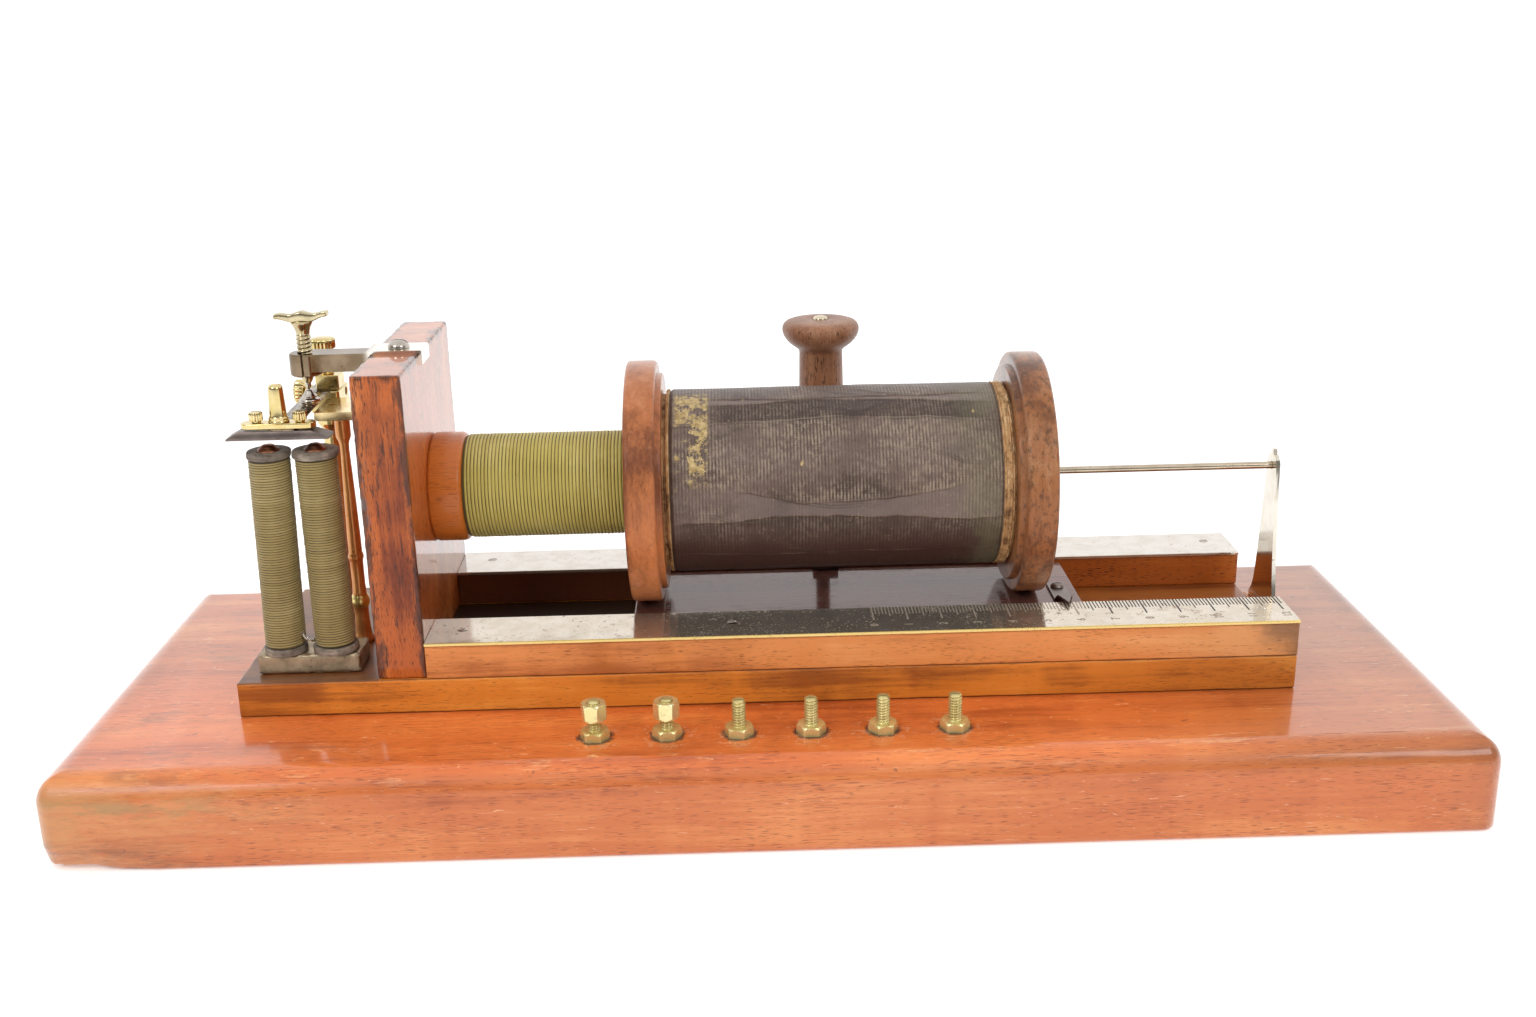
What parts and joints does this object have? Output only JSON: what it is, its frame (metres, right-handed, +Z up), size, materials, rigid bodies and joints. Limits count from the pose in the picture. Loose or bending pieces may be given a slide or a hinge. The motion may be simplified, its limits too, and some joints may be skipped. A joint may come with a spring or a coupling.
{
  "type": "sledge inductorium",
  "caption": "Bench induction coil: fixed primary, secondary coil on a sledge between scaled rails, electromagnetic hammer interrupter, base terminals.",
  "frame": {"origin": "centre of the base board's underside, on the surface it stands on", "axes": "+X along the sledge's way, away from the interrupter; +Y to the back; +Z up"},
  "size_m": [0.398, 0.148, 0.1389],
  "materials": {
    "base_wood": "French-polished mahogany, worn",
    "frame_wood": "varnished light mahogany, dark pores",
    "upright_wood": "open-grained mahogany, polished",
    "sledge_wood": "dark wood, mirror polish",
    "coil_wood": "turned and varnished wood",
    "grip_wood": "turned wood, waxed",
    "nickel_silver": "polished nickel silver, tarnish spots",
    "brass": "lacquered brass, worn",
    "bronze": "dark lacquered brass",
    "iron": "bare iron, browned",
    "blued_steel": "blackened spring steel",
    "steel": "bright steel",
    "silk_wire": "green silk-covered wire, close turns",
    "spool_card": "dark varnished card cheeks",
    "paper": "brown pasteboard",
    "book_cloth": "worn grey-brown book cloth",
    "copper": "fine insulated copper wire"
  },
  "bodies": {
    "frame": {"base_board": "base_wood", "frame_board": "frame_wood", "rail_front": "frame_wood", "rail_rear": "frame_wood", "strip_front": "nickel_silver", "strip_rear": "nickel_silver", "upright": "upright_wood", "contact_arm": "brass", "strap_screw": "brass", "primary_spool": "coil_wood", "primary_winding": "silk_wire", "iron_core": "iron", "support_rod": "steel", "end_cleat": "frame_wood", "end_bracket": "brass", "yoke": "iron", "magnet_core_left": "iron", "magnet_core_right": "iron", "magnet_spool_left": "spool_card", "magnet_spool_right": "spool_card", "magnet_winding_left": "silk_wire", "magnet_winding_right": "silk_wire", "link_wire": "copper", "front_pillar": "bronze", "lower_arm": "brass", "rear_pillar": "brass", "spring_block": "brass", "spring_clamp": "brass", "terminal_1": "brass", "terminal_2": "brass", "terminal_3": "brass", "terminal_4": "brass", "terminal_5": "brass", "terminal_6": "brass"},
    "secondary": {"sledge_board": "sledge_wood", "flange_left": "coil_wood", "flange_right": "coil_wood", "secondary_tube": "paper", "end_ring_left": "paper", "end_ring_right": "paper", "secondary_winding": "copper", "secondary_cover": "book_cloth", "handle_arm": "iron", "handle_rod": "brass", "handle_grip": "grip_wood", "pointer": "steel", "pointer_screw": "iron"},
    "hammer": {"armature": "iron", "leaf_spring": "blued_steel", "armature_clamp": "brass", "hammer_post": "brass", "anvil": "steel"},
    "clamp_screw_l": {"clamp_screw_left": "brass"},
    "clamp_screw_r": {"clamp_screw_right": "brass"},
    "contact_carriage": {"contact_point": "steel"},
    "contact_spindle": {"contact_screw": "brass"},
    "tall_nut": {"spring_nut": "brass"},
    "side_screw": {"cross_screw": "brass"},
    "nut_one": {"clamp_nut_1": "brass"},
    "nut_two": {"clamp_nut_2": "brass"}
  },
  "joints": [
    {"name": "secondary_slide", "type": "slide", "parent": "frame", "child": "secondary", "axis": [1, 0, 0], "range_m": [-0.058, 0.059]},
    {"name": "hammer_swing", "type": "hinge", "parent": "frame", "child": "hammer", "pos_m": [-0.1338, 0.013, 0.1111], "axis": [1, 0, 0], "range_deg": [0, 2.4], "stiffness_Nm_per_rad": 0.6, "springref_deg": -0.34, "deforming": ["leaf_spring"]},
    {"name": "contact_lift", "type": "slide", "parent": "frame", "child": "contact_carriage", "axis": [0, 0, 1], "range_m": [0, 0.0024]},
    {"name": "contact_turn", "type": "hinge", "parent": "contact_carriage", "child": "contact_spindle", "pos_m": [-0.1324, -0.0015, 0.126], "axis": [0, 0, 1], "range_deg": [0, 720]},
    {"name": "clamp_screw_left_turn", "type": "hinge", "parent": "hammer", "child": "clamp_screw_l", "pos_m": [-0.1414, -0.0258, 0.113], "axis": [0, 0, 1], "range_deg": [0, 720]},
    {"name": "clamp_screw_right_turn", "type": "hinge", "parent": "hammer", "child": "clamp_screw_r", "pos_m": [-0.1292, -0.0258, 0.113], "axis": [0, 0, 1], "range_deg": [0, 720]},
    {"name": "spring_nut_turn", "type": "hinge", "parent": "frame", "child": "tall_nut", "pos_m": [-0.1326, 0.0196, 0.12], "axis": [0, 0, 1], "range_deg": [0, 720]},
    {"name": "cross_screw_turn", "type": "hinge", "parent": "frame", "child": "side_screw", "pos_m": [-0.1326, 0.0236, 0.1089], "axis": [1, 0, 0], "range_deg": [0, 720]},
    {"name": "clamp_nut_1_turn", "type": "hinge", "parent": "frame", "child": "nut_one", "pos_m": [-0.0492, -0.0555, 0.0345], "axis": [0, 0, 1], "range_deg": [0, 720]},
    {"name": "clamp_nut_2_turn", "type": "hinge", "parent": "frame", "child": "nut_two", "pos_m": [-0.02915, -0.0555, 0.0345], "axis": [0, 0, 1], "range_deg": [0, 720]}
  ],
  "couplings": [
    {"joint": "contact_turn", "follows": "contact_lift", "rad_per_m": 5236}
  ]
}
